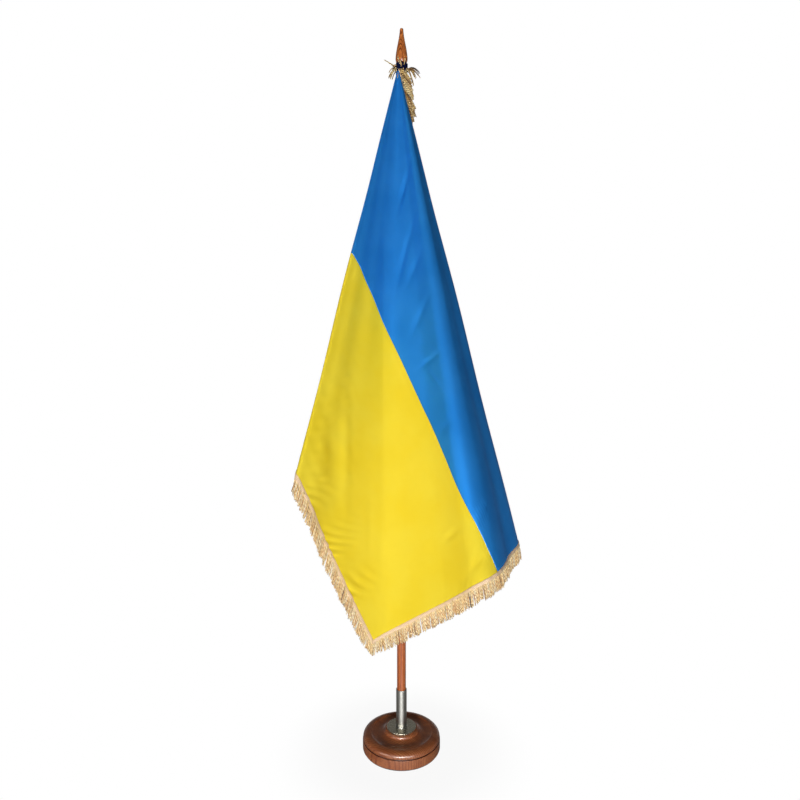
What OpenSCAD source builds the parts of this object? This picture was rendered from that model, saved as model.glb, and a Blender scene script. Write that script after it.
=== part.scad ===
// Floor stand with a round wooden pole, a turned spear finial and a hanging two-stripe flag
// with a bullion fringe. Millimetres, Z up, pole axis on Z, floor at Z = 0, front towards -Y.

/* [Stand] */
// Diameter of the turned wooden base
base_d = 280; // [250:5:320]
// Height of the wooden base from its underside to the boss top
base_h = 72; // [64:1:84]
// Thickness of the felt glued under the base
felt_t = 3; // [2:0.5:5]
// Diameter of the steel weight let into the underside
ballast_d = 190; // [150:5:200]
// Thickness of the steel weight
ballast_t = 8; // [6:1:10]
// Diameter of the round steel flange
flange_d = 106; // [92:1:116]
// Thickness of the steel flange
flange_t = 6; // [4:0.5:8]
// Height of the socket tube above the boss
tube_h = 147; // [130:1:180]
// Wall of the socket tube
tube_wall = 2; // [1.5:0.5:3]

/* [Pole] */
// Height of the whole object, floor to finial tip
total_h = 2495; // [2305:10:2695]
// Diameter of the wooden pole
pole_d = 32; // [28:1:36]
// Slack between the pole and the socket, on the radius
socket_slack = 1; // [0.5:0.1:1.5]
// Height of the finial
finial_h = 111; // [98:1:126]
// Largest diameter of the finial
finial_d = 40; // [36:0.2:44]
// Diameter of the finial's blunt tip
finial_tip_d = 11.4; // [8:0.2:14]

/* [Flag] */
// Length of the hoist edge
flag_hoist = 920; // [840:10:960]
// Length of the fly
flag_fly = 1560; // [1400:10:1640]
// Distance from the finial's underside to the flag's top corner
flag_drop = 19; // [16:1:30]
// Thickness of the cloth
cloth_t = 1; // [0.8:0.1:1.2]
// Width of the fringe's woven heading
braid_w = 9; // [6:1:14]
// Length of the fringe's cords below the heading
fringe_len = 41; // [30:1:55]
// Thickness of the fringe at its hanging end
fringe_t = 3; // [2:0.5:4]

/* [Hidden] */
$fn = 96;
fit_gap = 0.05;
seat_gap = 0.02;
cloth_gap = 0.35;

base_r = base_d / 2;
boss_z = felt_t + base_h;
wall_z = felt_t + base_h * 0.5;
ovolo_z = felt_t + base_h * 0.555;
ridge_z = felt_t + base_h * 0.847;
boss_foot_z = felt_t + base_h * 0.875;
ridge_r = base_r * 0.786;
boss_r = flange_d / 2 + 3.5;
boss_foot_r = flange_d / 2 + 9;
dish_dip = 5.5;
groove_w = 4;
groove_in = 3.6;
lip_in = 1.2;

bolt_r = 5;
head_h = 6.4;
head_af = 17;
flat_washer_t = 2;
lock_washer_t = 2.2;
lock_washer_r = 9;
flat_washer_r = 15;
recess_z = felt_t + 11 + ballast_t;
washer_z = recess_z - ballast_t - flat_washer_t;
lock_z = washer_z - lock_washer_t;
head_z = lock_z - head_h;

pole_r = pole_d / 2;
tube_ir = pole_r + socket_slack;
tube_or = tube_ir + tube_wall;
weld_w = 2.5;
plug_h = 22;
pad_t = 4;
plug_top = boss_z + plug_h;
pole_z0 = plug_top + pad_t;
finial_z = total_h - finial_h;
sleeve_end_t = 0.8;
sleeve_end_z = finial_z - 0.3 - sleeve_end_t;
pole_top = sleeve_end_z - 0.3;
stud_r = 4;
stud_down = 42;
stud_up = 26;
insert_r = 6.5;
finial_r = finial_d / 2;
finial_tip_r = finial_tip_d / 2;
belly_z = finial_h * 0.135;
tip_h = 4;

// The flag hangs from its top corner as a folded cone. Each pair is one fold line running out of
// that corner: how far it leans to the right and to the back for every unit it drops. The first
// line is the hoist and the last is the top edge.
fold_lines = [
  [0, 0], [-0.085, 0.175], [-0.185, 0.2], [-0.22, 0.115],
  [-0.21, -0.065], [-0.21, -0.255], [-0.225, -0.345], [-0.195, -0.33],
  [-0.115, -0.265], [-0.02, -0.22], [0.075, -0.255], [0.135, -0.315],
  [0.18, -0.305], [0.205, -0.25], [0.245, -0.175], [0.23, -0.02]
];
fold_last = len(fold_lines) - 1;
fold_steps = 16;
seam_angle = -122;
sleeve_ir = pole_r + cloth_gap;
sleeve_or = sleeve_ir + 0.85;
seam_out = 5.8;
seam_r = pole_r + seam_out;
seam_w = 0.8;
seam_back = 7.2;
sewn_gap = 0.1;
corner = [seam_r * cos(seam_angle), seam_r * sin(seam_angle), finial_z - flag_drop];
gather_len = 30;
collar_out = 26;
collar_drop = 24;
collar_thick = 4;
stripe = flag_hoist / 2;
stripe_z = corner.z - stripe;
hem_z = corner.z - flag_hoist;
hem_angle = atan2(flag_fly, flag_hoist);
stripe_angle = atan2(flag_fly, stripe);
hang_out = 0.45;
top_hang_out = 0.8;
top_from = 20;
top_step = 20;
top_last = 240;
top_turn_from = 60;
top_turn_len = 150;
top_clear = 0.6;
seam_bow = 15;
bow_from = 46;
bow_to = 66;

function unit(v) = v / norm(v);

function line_at(i) =
  i < 0 ? 2 * fold_lines[0] - fold_lines[1] :
  i > fold_last ? 2 * fold_lines[fold_last] - fold_lines[fold_last - 1] :
  fold_lines[i];

// A smooth curve through the fold lines, between line i and the next
function lean(i, t) =
  let (a = line_at(i - 1), b = line_at(i), c = line_at(i + 1), d = line_at(i + 2))
  0.5 * (2 * b + (c - a) * t + (2 * a - 5 * b + 4 * c - d) * t * t + (3 * b - a - 3 * c + d) * t * t * t);

leans = [
  for (i = [0 : fold_last - 1])
    for (k = [0 : fold_steps - 1])
      lean(i, k / fold_steps),
  fold_lines[fold_last]
];
ways = [for (p = leans) unit([p.x, p.y, -1])];
way_n = len(ways);
turns = [for (i = [0 : way_n - 2]) 2 * asin(norm(ways[i + 1] - ways[i]) / 2)];
turned = [for (i = 0, a = 0; i < way_n; a = a + (i < way_n - 1 ? turns[i] : 0), i = i + 1) a];
turn_scale = turned[way_n - 1] / 90;
way_x = [for (i = [0 : way_n - 1]) [turned[i], ways[i].x]];
way_y = [for (i = [0 : way_n - 1]) [turned[i], ways[i].y]];
way_z = [for (i = [0 : way_n - 1]) [turned[i], ways[i].z]];

// Direction in space of the line that leaves the flat cloth's top corner at this angle from the hoist
function way(a) =
  let (q = a * turn_scale)
  unit([lookup(q, way_x), lookup(q, way_y), lookup(q, way_z)]);

function across(a) = unit(way(min(a + 0.5, 90)) - way(max(a - 0.5, 0)));

function face(a) = unit(cross(way(a), across(a)));

// Point of the hung cloth, from its distance along the fly and below the top edge
function hung(fly, down) = corner + norm([fly, down]) * way(atan2(fly, down));

hem_steps = 90;
fly_steps = 20;
top_steps = 26;
hem_angles = [for (i = [0 : hem_steps]) hem_angle * i / hem_steps];
low_fly_angles = [for (i = [1 : fly_steps]) hem_angle + (stripe_angle - hem_angle) * i / fly_steps];
high_fly_angles = [for (i = [1 : top_steps]) stripe_angle + (90 - stripe_angle) * i / top_steps];
low_angles = concat(hem_angles, low_fly_angles);
fly_angles = concat([hem_angle], low_fly_angles, high_fly_angles);
all_angles = concat(low_angles, high_fly_angles);

// Over the front fold the seam between the stripes is drawn up a little
function bow(a) = seam_bow * max(0, sin(180 * max(0, min(1, (a - bow_from) / (bow_to - bow_from)))));
function stripe_len(a) = a < stripe_angle ? (stripe - bow(a)) / cos(a) : flag_fly / sin(a);
function edge_len(a) = a < hem_angle ? flag_hoist / cos(a) : flag_fly / sin(a);

// A folded sheet between two rows of points, with its thickness given at each row
module sheet(upper, lower, faces, upper_t, lower_t) {
  n = len(upper);
  pts = [
    for (i = [0 : n - 1])
      each [
        upper[i] + faces[i] * upper_t / 2,
        lower[i] + faces[i] * lower_t / 2,
        lower[i] - faces[i] * lower_t / 2,
        upper[i] - faces[i] * upper_t / 2
      ]
  ];
  sides = [
    for (i = [0 : n - 2])
      for (k = [0 : 3])
        let (a = 4 * i + k, b = 4 * i + 4 + k, c = 4 * i + 4 + (k + 1) % 4, d = 4 * i + (k + 1) % 4)
        each [[a, b, c], [a, c, d]]
  ];
  e = 4 * (n - 1);
  caps = [[0, 1, 2], [0, 2, 3], [e + 3, e + 2, e + 1], [e + 3, e + 1, e]];
  polyhedron(points = pts, faces = concat(sides, caps), convexity = 8);
}

function blend(a, b, t) = a + (b - a) * t;

// Outer edge of the fringe heading, mitred at the flag's corners
function hem_out(a) = hung(flag_hoist * tan(a) * (flag_fly + braid_w) / flag_fly, flag_hoist + braid_w);
function fly_out(a) = hung(flag_fly + braid_w, flag_fly / tan(a) * (flag_hoist + braid_w) / flag_hoist);

// Hanging end of the fringe cords below a heading's outer edge
function cord_end(inner, outer, out) = outer + fringe_len * unit(unit(outer - inner) * out + [0, 0, -1]);

// Where the fringe's cords start, just outside the heading
function cord_start(inner, outer) = outer + sewn_gap * unit(outer - inner);

hem_edge = [for (a = hem_angles) corner + (edge_len(a) + sewn_gap) * way(a)];
hem_outer = [for (a = hem_angles) hem_out(a)];
hem_faces = [for (a = hem_angles) face(a)];
fly_edge = [for (a = fly_angles) corner + (edge_len(a) + sewn_gap) * way(a)];
fly_outer = [for (a = fly_angles) fly_out(a)];
fly_faces = [for (a = fly_angles) face(a)];
// The top edge's fringe hangs beside the pole near the corner and turns to the back further down
top_lengths = concat([for (a = [top_from : top_step : top_last]) a], [flag_fly + braid_w]);
function top_share(a) = let (u = max(0, min(1, (a - top_turn_from) / top_turn_len))) u * u * (3 - 2 * u);
function top_side(a) = unit(blend([1, 0, 0], across(90), top_share(a)));
function top_face(a) = unit(cross(way(90), top_side(a)));
top_gaps = [for (a = top_lengths) blend(top_clear, sewn_gap, top_share(a))];
top_edge = [
  for (i = [0 : len(top_lengths) - 1])
    corner + top_lengths[i] * way(90) + top_gaps[i] * top_side(top_lengths[i])
];
top_outer = [for (i = [0 : len(top_lengths) - 1]) top_edge[i] + braid_w * top_side(top_lengths[i])];
top_faces = [for (a = top_lengths) top_face(a)];

function base_outline() = concat(
  [[0, felt_t], [base_r - 4, felt_t], [base_r - 1, felt_t + 1.2], [base_r, felt_t + 4]],
  [[base_r, wall_z - groove_w / 2], [base_r - groove_in, wall_z - groove_w / 8]],
  [[base_r - groove_in, wall_z + groove_w / 8], [base_r - lip_in * 2, wall_z + groove_w / 2]],
  [for (t = [0 : 15 : 90]) [blend(ridge_r, base_r - lip_in, cos(t)), blend(ovolo_z, ridge_z, sin(t))]],
  [for (u = [0 : 0.1 : 1]) [
    blend(ridge_r - 1.5, boss_foot_r, u),
    blend(ridge_z - 1.5, boss_foot_z, u) - dish_dip * sin(180 * u)
  ]],
  [for (t = [15 : 15 : 90]) [blend(boss_r, boss_foot_r, cos(t)), blend(boss_foot_z, boss_z, sin(t))]],
  [[0, boss_z]]
);

module base_disc() {
  color([0.36, 0.2, 0.12])
    difference() {
      rotate_extrude() polygon(base_outline());
      translate([0, 0, felt_t - 1]) cylinder(r = ballast_d / 2 + 1, h = recess_z - felt_t + 1);
      translate([0, 0, recess_z - 1]) cylinder(r = bolt_r + 0.5, h = base_h);
    }
}

module base_felt() {
  color([0.2, 0.2, 0.2]) cylinder(r = base_r - 4, h = felt_t);
}

module ballast_plate() {
  color([0.45, 0.46, 0.47])
    difference() {
      translate([0, 0, recess_z - ballast_t]) cylinder(r = ballast_d / 2, h = ballast_t);
      translate([0, 0, recess_z - ballast_t - 1]) cylinder(r = bolt_r + 0.5, h = ballast_t + 2);
    }
}

module socket_flange() {
  r = flange_d / 2;
  hole = tube_or + seat_gap;
  color([0.74, 0.75, 0.76])
    rotate_extrude()
      polygon([
        [hole, boss_z], [r - 0.5, boss_z], [r, boss_z + 0.5], [r, boss_z + flange_t - 0.8],
        [r - 0.8, boss_z + flange_t], [hole, boss_z + flange_t]
      ]);
}

module socket_tube() {
  top = boss_z + tube_h;
  weld_z = boss_z + flange_t;
  color([0.74, 0.75, 0.76])
    rotate_extrude()
      polygon([
        [tube_ir, boss_z], [tube_or, boss_z], [tube_or, weld_z], [tube_or + weld_w, weld_z],
        [tube_or + weld_w * 0.7, weld_z + weld_w * 0.45], [tube_or, weld_z + weld_w],
        [tube_or, top - 0.5], [tube_or - 0.5, top], [tube_ir + 0.5, top], [tube_ir, top - 0.5]
      ]);
}

module socket_plug() {
  color([0.6, 0.61, 0.62])
    difference() {
      translate([0, 0, boss_z]) cylinder(r = tube_ir - seat_gap, h = plug_h);
      translate([0, 0, boss_z - 1]) cylinder(r = bolt_r + seat_gap, h = plug_h + 2);
    }
}

module clamp_bolt() {
  color([0.62, 0.63, 0.64])
    union() {
      translate([0, 0, head_z]) cylinder(d = head_af / cos(30), h = head_h, $fn = 6);
      translate([0, 0, head_z + head_h / 2]) cylinder(r = bolt_r, h = plug_top - head_z - head_h / 2);
    }
}

module lock_washer() {
  color([0.55, 0.56, 0.57])
    difference() {
      translate([0, 0, lock_z]) cylinder(r = lock_washer_r, h = lock_washer_t);
      translate([0, 0, lock_z - 1]) cylinder(r = bolt_r + 0.2, h = lock_washer_t + 2);
      translate([bolt_r - 1, -0.6, lock_z - 1]) cube([8, 1.2, lock_washer_t + 2]);
    }
}

module flat_washer() {
  color([0.6, 0.61, 0.62])
    difference() {
      translate([0, 0, washer_z]) cylinder(r = flat_washer_r, h = flat_washer_t);
      translate([0, 0, washer_z - 1]) cylinder(r = bolt_r + 0.3, h = flat_washer_t + 2);
    }
}

module socket_pad() {
  color([0.15, 0.15, 0.15]) translate([0, 0, plug_top]) cylinder(r = tube_ir - 0.4, h = pad_t);
}

module pole_shaft() {
  color([0.72, 0.38, 0.18])
    difference() {
      rotate_extrude()
        polygon([
          [0, pole_z0], [pole_r - 2, pole_z0], [pole_r, pole_z0 + 2], [pole_r, pole_top - 1],
          [pole_r - 1, pole_top], [0, pole_top]
        ]);
      translate([0, 0, pole_top - stud_down]) cylinder(r = stud_r + seat_gap, h = stud_down + 1);
    }
}

module finial_stud() {
  color([0.62, 0.63, 0.64])
    translate([0, 0, pole_top - stud_down])
      cylinder(r = stud_r, h = finial_z + stud_up - pole_top + stud_down);
}

// Radius of the finial's long taper, from its belly to its tip
function taper_r(v) = blend(finial_tip_r, finial_r, 0.3 * (1 + cos(180 * v)) + 0.4 * (1 - v));

function finial_outline() = concat(
  [[0, 0]],
  [for (t = [-90 : 15 : -15]) [finial_r * 0.72 + finial_r * 0.28 * cos(t), belly_z + belly_z * sin(t)]],
  [for (v = [0 : 0.0625 : 1]) [taper_r(v), blend(belly_z, finial_h - tip_h, v)]],
  [for (t = [22.5 : 22.5 : 67.5]) [finial_tip_r * cos(t), finial_h - tip_h + tip_h * sin(t)]],
  [[0, finial_h]]
);

module finial() {
  color([0.66, 0.34, 0.15])
    difference() {
      translate([0, 0, finial_z]) rotate_extrude() polygon(finial_outline());
      translate([0, 0, finial_z - 1]) cylinder(r = insert_r + seat_gap, h = stud_up + 3);
    }
}

module finial_insert() {
  color([0.8, 0.65, 0.3])
    difference() {
      translate([0, 0, finial_z]) cylinder(r = insert_r, h = stud_up + 2);
      translate([0, 0, finial_z - 1]) cylinder(r = stud_r + fit_gap, h = stud_up + 4);
    }
}

// Stitched edge that joins the sleeve to the hoist of the cloth
module seam(z0, z1) {
  turn = across(0);
  half = cloth_t / 2;
  translate([corner.x, corner.y, z0])
    rotate([0, 0, atan2(turn.y, turn.x)])
      translate([-seam_w, -seam_back, 0])
        cube([seam_w, seam_back + half, z1 - z0]);
}

module sleeve_wall(z0, z1) {
  difference() {
    translate([0, 0, z0]) cylinder(r = sleeve_or, h = z1 - z0);
    translate([0, 0, z0 - 1]) cylinder(r = sleeve_ir, h = z1 - z0 + 2);
  }
}

module upper_sleeve() {
  color([0.12, 0.42, 0.72])
    union() {
      sleeve_wall(stripe_z, sleeve_end_z + 0.4);
      difference() {
        translate([0, 0, sleeve_end_z]) cylinder(r = sleeve_or, h = sleeve_end_t);
        translate([0, 0, sleeve_end_z - 1]) cylinder(r = stud_r + 0.6, h = sleeve_end_t + 2);
      }
      difference() {
        seam(stripe_z, corner.z - gather_len);
        translate([0, 0, stripe_z - 1]) cylinder(r = sleeve_ir + 0.3, h = flag_hoist);
      }
    }
}

module lower_sleeve() {
  color([0.93, 0.84, 0.2])
    union() {
      sleeve_wall(hem_z, stripe_z);
      difference() {
        seam(hem_z, stripe_z);
        translate([0, 0, hem_z - 1]) cylinder(r = sleeve_ir + 0.3, h = flag_hoist);
      }
    }
}

module upper_stripe() {
  color([0.12, 0.42, 0.72])
    sheet(
      [for (a = all_angles) corner + gather_len * way(a)],
      [for (a = all_angles) corner + stripe_len(a) * way(a)],
      [for (a = all_angles) face(a)],
      cloth_t,
      cloth_t
    );
}

// The lower stripe narrows to nothing at the fly, so its last column stops just short of that point
module lower_stripe() {
  n = len(low_angles) - 1;
  high = [for (a = low_angles) corner + (stripe_len(a) + sewn_gap) * way(a)];
  low = [for (a = low_angles) corner + edge_len(a) * way(a)];
  sides = [for (a = low_angles) face(a)];
  part = [for (i = [0 : n]) i < n ? 1 : 0.97];
  color([0.93, 0.84, 0.2])
    sheet(
      [for (i = [0 : n]) i < n ? high[i] : blend(high[n - 1], high[n], part[i])],
      [for (i = [0 : n]) i < n ? low[i] : blend(low[n - 1], low[n], part[i])],
      [for (i = [0 : n]) i < n ? sides[i] : blend(sides[n - 1], sides[n], part[i])],
      cloth_t,
      cloth_t
    );
}

module hem_braid() {
  color([0.86, 0.76, 0.6]) sheet(hem_edge, hem_outer, hem_faces, cloth_t, cloth_t);
}

module fly_braid() {
  color([0.86, 0.76, 0.6]) sheet(fly_edge, fly_outer, fly_faces, cloth_t, cloth_t);
}

module top_braid() {
  color([0.86, 0.76, 0.6]) sheet(top_outer, top_edge, top_faces, cloth_t, cloth_t);
}

module hem_fringe() {
  starts = [for (i = [0 : hem_steps]) cord_start(hem_edge[i], hem_outer[i])];
  ends = [for (i = [0 : hem_steps]) cord_end(hem_edge[i], hem_outer[i], hang_out)];
  color([0.85, 0.72, 0.45]) sheet(starts, ends, hem_faces, cloth_t, fringe_t);
}

module fly_fringe() {
  n = len(fly_angles) - 1;
  starts = [for (i = [0 : n]) cord_start(fly_edge[i], fly_outer[i])];
  ends = [for (i = [0 : n]) cord_end(fly_edge[i], fly_outer[i], hang_out)];
  color([0.85, 0.72, 0.45]) sheet(starts, ends, fly_faces, cloth_t, fringe_t);
}

module top_fringe() {
  n = len(top_lengths) - 1;
  outs = [for (a = top_lengths) blend(top_hang_out, hang_out, top_share(a))];
  starts = [for (i = [0 : n]) cord_start(top_edge[i], top_outer[i])];
  ends = [for (i = [0 : n]) cord_end(top_edge[i], top_outer[i], outs[i])];
  color([0.85, 0.72, 0.45]) sheet(ends, starts, top_faces, fringe_t, cloth_t);
}

// Gathered end of the top fringe, round the sleeve under the finial
module collar_fringe() {
  z = corner.z;
  r = sleeve_or + sewn_gap;
  color([0.85, 0.72, 0.45])
    rotate_extrude()
      polygon([
        [r, z - collar_thick], [r + collar_out, z - collar_drop], [r + collar_out + 2, z - collar_drop + 4],
        [r + collar_thick, z + collar_thick], [r, z + collar_thick + 1]
      ]);
}

base_disc();
base_felt();
ballast_plate();
socket_flange();
socket_tube();
socket_plug();
clamp_bolt();
lock_washer();
flat_washer();
socket_pad();
pole_shaft();
finial_stud();
finial();
finial_insert();
upper_sleeve();
lower_sleeve();
upper_stripe();
lower_stripe();
hem_braid();
fly_braid();
top_braid();
hem_fringe();
fly_fringe();
top_fringe();
collar_fringe();
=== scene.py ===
"""A floor stand with a wooden pole, a spear finial and a fringed two-stripe flag, dressed for rendering.

Metres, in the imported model's frame: the pole's axis is Z, the floor is Z = 0 and the front is -Y.
"""

import bmesh
import bpy
import numpy as np
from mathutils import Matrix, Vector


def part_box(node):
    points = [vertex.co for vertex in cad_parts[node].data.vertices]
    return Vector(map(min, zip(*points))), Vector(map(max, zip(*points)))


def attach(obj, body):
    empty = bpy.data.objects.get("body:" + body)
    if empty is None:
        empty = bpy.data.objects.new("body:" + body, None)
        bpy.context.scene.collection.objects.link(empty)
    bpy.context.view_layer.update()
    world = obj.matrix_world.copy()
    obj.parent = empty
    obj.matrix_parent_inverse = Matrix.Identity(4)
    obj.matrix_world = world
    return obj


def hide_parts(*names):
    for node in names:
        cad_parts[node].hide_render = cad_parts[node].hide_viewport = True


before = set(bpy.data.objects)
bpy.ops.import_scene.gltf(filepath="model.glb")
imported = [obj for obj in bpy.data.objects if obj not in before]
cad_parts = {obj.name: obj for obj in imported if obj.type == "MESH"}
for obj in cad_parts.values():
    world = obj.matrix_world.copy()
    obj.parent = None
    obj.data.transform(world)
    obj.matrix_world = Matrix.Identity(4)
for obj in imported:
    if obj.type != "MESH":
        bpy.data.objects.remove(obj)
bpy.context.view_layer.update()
MM = 0.001
RNG = np.random.default_rng(7)

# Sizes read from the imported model; the socket's slack and wall are the same values as the solid's
POLE_LOW, POLE_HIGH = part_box("pole_shaft")
POLE_R = (POLE_HIGH[0] - POLE_LOW[0]) / 2
FINIAL_LOW, FINIAL_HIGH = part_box("finial")
FINIAL_R = (FINIAL_HIGH[0] - FINIAL_LOW[0]) / 2
BASE_LOW, BASE_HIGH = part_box("base_disc")
BASE_R = (BASE_HIGH[0] - BASE_LOW[0]) / 2
FLANGE_LOW, FLANGE_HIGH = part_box("socket_flange")
FLANGE_R = (FLANGE_HIGH[0] - FLANGE_LOW[0]) / 2
TUBE_LOW, TUBE_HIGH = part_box("socket_tube")
SOCKET_SLACK = 1.0 * MM
TUBE_WALL = 2.0 * MM
TUBE_IR = POLE_R + SOCKET_SLACK
TUBE_R = TUBE_IR + TUBE_WALL

# The flag's cut and its hang, the same values as the solids, but for how far the hem and the top cords hang out
FLAG_HOIST = 0.92
FLAG_FLY = 1.56
STRIPE = FLAG_HOIST / 2
FLAG_DROP = 19 * MM
BRAID_W = 9 * MM
CORD_LEN = 41 * MM
HANG_OUT = 0.45
TOP_HANG_OUT = 0.9
HEM_HANG_OUT = 0.52
SEAM_BOW = 15 * MM
BOW_FROM, BOW_TO = np.radians(46), np.radians(66)
SEAM_ANGLE = np.radians(-122)
SEAM_R = POLE_R + 5.8 * MM
CORNER = np.array([SEAM_R * np.cos(SEAM_ANGLE), SEAM_R * np.sin(SEAM_ANGLE), FINIAL_LOW[2] - FLAG_DROP])
RIGHT_ANGLE = np.pi / 2
HEM_ANGLE = np.arctan2(FLAG_FLY, FLAG_HOIST)
STRIPE_ANGLE = np.arctan2(FLAG_FLY, STRIPE)
# Fold lines out of the top corner, hoist first: lean to the right and to the back for each unit of drop
FOLD_LINES = np.array([
    [0, 0], [-0.085, 0.175], [-0.185, 0.2], [-0.22, 0.115],
    [-0.21, -0.065], [-0.21, -0.255], [-0.225, -0.345], [-0.195, -0.33],
    [-0.115, -0.265], [-0.02, -0.22], [0.075, -0.255], [0.135, -0.315],
    [0.18, -0.305], [0.205, -0.25], [0.245, -0.175], [0.23, -0.02],
])


# ---- shapes -------------------------------------------------------------------------------

def unit(v):
    """Each vector of the array divided by its own length."""
    return v / np.linalg.norm(v, axis=-1, keepdims=True)


def smooth(x, low, high):
    """0 before low, 1 after high, and the cubic 3u^2 - 2u^3 between them."""
    u = np.clip((x - low) / (high - low), 0, 1)
    return u * u * (3 - 2 * u)


def put_mesh(name, points, faces, corner_uv=None, values=None, closed=False):
    """An object from an array of points and an array of quads, with a UV pair per corner and named values per point.

    Points that meet are welded, so seams and poles are closed, and a closed piece gets its faces turned outward.
    """
    mesh = bpy.data.meshes.new(name)
    count = len(faces)
    mesh.vertices.add(len(points))
    mesh.vertices.foreach_set("co", points.astype(np.float32).ravel())
    mesh.loops.add(count * 4)
    mesh.loops.foreach_set("vertex_index", faces.astype(np.int32).ravel())
    mesh.polygons.add(count)
    mesh.polygons.foreach_set("loop_start", np.arange(0, count * 4, 4, dtype=np.int32))
    mesh.polygons.foreach_set("use_smooth", np.ones(count, dtype=bool))
    mesh.update(calc_edges=True)
    if corner_uv is not None:
        layer = mesh.uv_layers.new(name="UVMap")
        layer.data.foreach_set("uv", corner_uv.astype(np.float32).ravel())
    for key, value in (values or {}).items():
        layer = mesh.attributes.new(key, "FLOAT", "POINT")
        layer.data.foreach_set("value", value.astype(np.float32).ravel())
    weld = bmesh.new()
    weld.from_mesh(mesh)
    bmesh.ops.remove_doubles(weld, verts=weld.verts, dist=2e-6)
    if closed:
        bmesh.ops.recalc_face_normals(weld, faces=weld.faces)
    weld.to_mesh(mesh)
    weld.free()
    obj = bpy.data.objects.new(name, mesh)
    bpy.context.scene.collection.objects.link(obj)
    return obj


def grid_faces(rows, cols, wrap=False):
    """Quads of a grid numbered row by row; wrap joins the last column to the first."""
    across = np.arange(cols if wrap else cols - 1)
    down = np.arange(rows - 1)[:, None] * cols
    a, b = down + across, down + (across + 1) % cols
    return np.stack([a, b, b + cols, a + cols], axis=-1).reshape(-1, 4)


def grid_piece(name, points, uv, wrap=False, flip=False, values=None, closed=False):
    """A smooth surface from a grid of points; a wrapped grid has one more column of UV pairs than of points."""
    order = [3, 2, 1, 0] if flip else [0, 1, 2, 3]
    faces = grid_faces(*points.shape[:2], wrap)[:, order]
    corners = grid_faces(*uv.shape[:2])[:, order]
    return put_mesh(name, points.reshape(-1, 3), faces, uv.reshape(-1, 2)[corners], values, closed)


def lathe(name, outline, sides=128):
    """A profile of radius and height carried round the Z axis; it runs from pole to pole or closes on itself."""
    turn = np.linspace(0, 2 * np.pi, sides, endpoint=False)
    r, z = outline[:, 0:1], outline[:, 1:2]
    points = np.stack([r * np.cos(turn), r * np.sin(turn), z + 0 * turn], axis=-1)
    run = np.concatenate([[0], np.cumsum(np.linalg.norm(np.diff(outline, axis=0), axis=1))])
    uv = np.stack(np.broadcast_arrays(np.linspace(0, 1, sides + 1)[None], run[:, None]), axis=-1)
    return grid_piece(name, points, uv, wrap=True, closed=True)


def rounded(corners, radius, steps=5):
    """A profile's corners, each turned into a short curve: the quadratic from one side's point through the corner."""
    before, here, after = corners[:-2], corners[1:-1], corners[2:]
    back, ahead = before - here, after - here
    length = np.minimum(np.linalg.norm(back, axis=1), np.linalg.norm(ahead, axis=1))[:, None]
    cut = np.minimum(radius, 0.45 * length)
    p, q = here + unit(back) * cut, here + unit(ahead) * cut
    t = np.linspace(0, 1, steps)[None, :, None]
    curve = p[:, None] * (1 - t) ** 2 + here[:, None] * 2 * t * (1 - t) + q[:, None] * t ** 2
    return np.concatenate([corners[:1], curve.reshape(-1, 2), corners[-1:]])


# ---- the hung cloth -----------------------------------------------------------------------

def fold_table(steps=24):
    """Directions of a smooth curve through the fold lines, and the angle turned up to each.

    The curve is a cubic through every four lines in turn, so it passes through each line; the angle is
    the running sum of the angles between neighbouring directions, so the cloth is neither stretched nor shrunk.
    """
    lines = np.vstack([2 * FOLD_LINES[0] - FOLD_LINES[1], FOLD_LINES, 2 * FOLD_LINES[-1] - FOLD_LINES[-2]])
    t = (np.arange(steps) / steps)[None, :, None]
    a, b, c, d = (lines[i:len(lines) - 3 + i, None] for i in range(4))
    lean = 0.5 * (2 * b + (c - a) * t + (2 * a - 5 * b + 4 * c - d) * t ** 2 + (3 * b - a - 3 * c + d) * t ** 3)
    lean = np.vstack([lean.reshape(-1, 2), FOLD_LINES[-1:]])
    ways = unit(np.column_stack([lean, -np.ones(len(lean))]))
    turns = 2 * np.arcsin(np.linalg.norm(np.diff(ways, axis=0), axis=1) / 2)
    turned = np.concatenate([[0], np.cumsum(turns)])
    return ways, turned * RIGHT_ANGLE / turned[-1]


WAYS, TURNED = fold_table()
ANGLE_STEP = np.radians(0.5)


def way(angle):
    """Direction in space of the line that leaves the flat cloth's top corner at this angle from the hoist."""
    return unit(np.stack([np.interp(angle, TURNED, WAYS[:, k]) for k in range(3)], axis=-1))


def across(angle):
    """Direction of the cloth at right angles to the line from the corner, by the difference of two near lines."""
    return unit(way(np.minimum(angle + ANGLE_STEP, RIGHT_ANGLE)) - way(np.maximum(angle - ANGLE_STEP, 0)))


def face(angle):
    """Outward normal of the hung cloth along the line at this angle."""
    return unit(np.cross(way(angle), across(angle)))


# Creases on the front of the flag: place across and up, lean to the right in degrees,
# half length, half width and height, all in millimetres; a negative height is a dent
CREASES = np.array([
    [3, 1947, 14, 66, 8, -6.0],
    [6, 1730, 14, 105, 9, -5.5],
    [40, 1700, 20, 60, 8, -3.0],
    [223, 993, 31, 30, 6, 4.5],
    [214, 872, 34, 34, 9, -9.0],
    [139, 921, 34, 24, 7, -4.0],
    [84, 1418, 47, 34, 6, -4.0],
    [96, 1363, -37, 28, 6, 3.0],
    [60, 1560, 22, 70, 8, -3.0],
    [128, 1230, 30, 45, 8, -1.5],
    [-94, 935, 0, 90, 14, -2.5],
    [-167, 1170, 0, 150, 14, 5.0],
    [-207, 1180, -6, 130, 18, -4.0],
])
FRONT_FROM, FRONT_TO = np.radians([46.5, 49.5]), np.radians([76, 80])
MIDDLE_FOLD_X, MIDDLE_FOLD_HALF, MIDDLE_FOLD_RISE = -57 * MM, 30 * MM, 3.4 * MM
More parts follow.
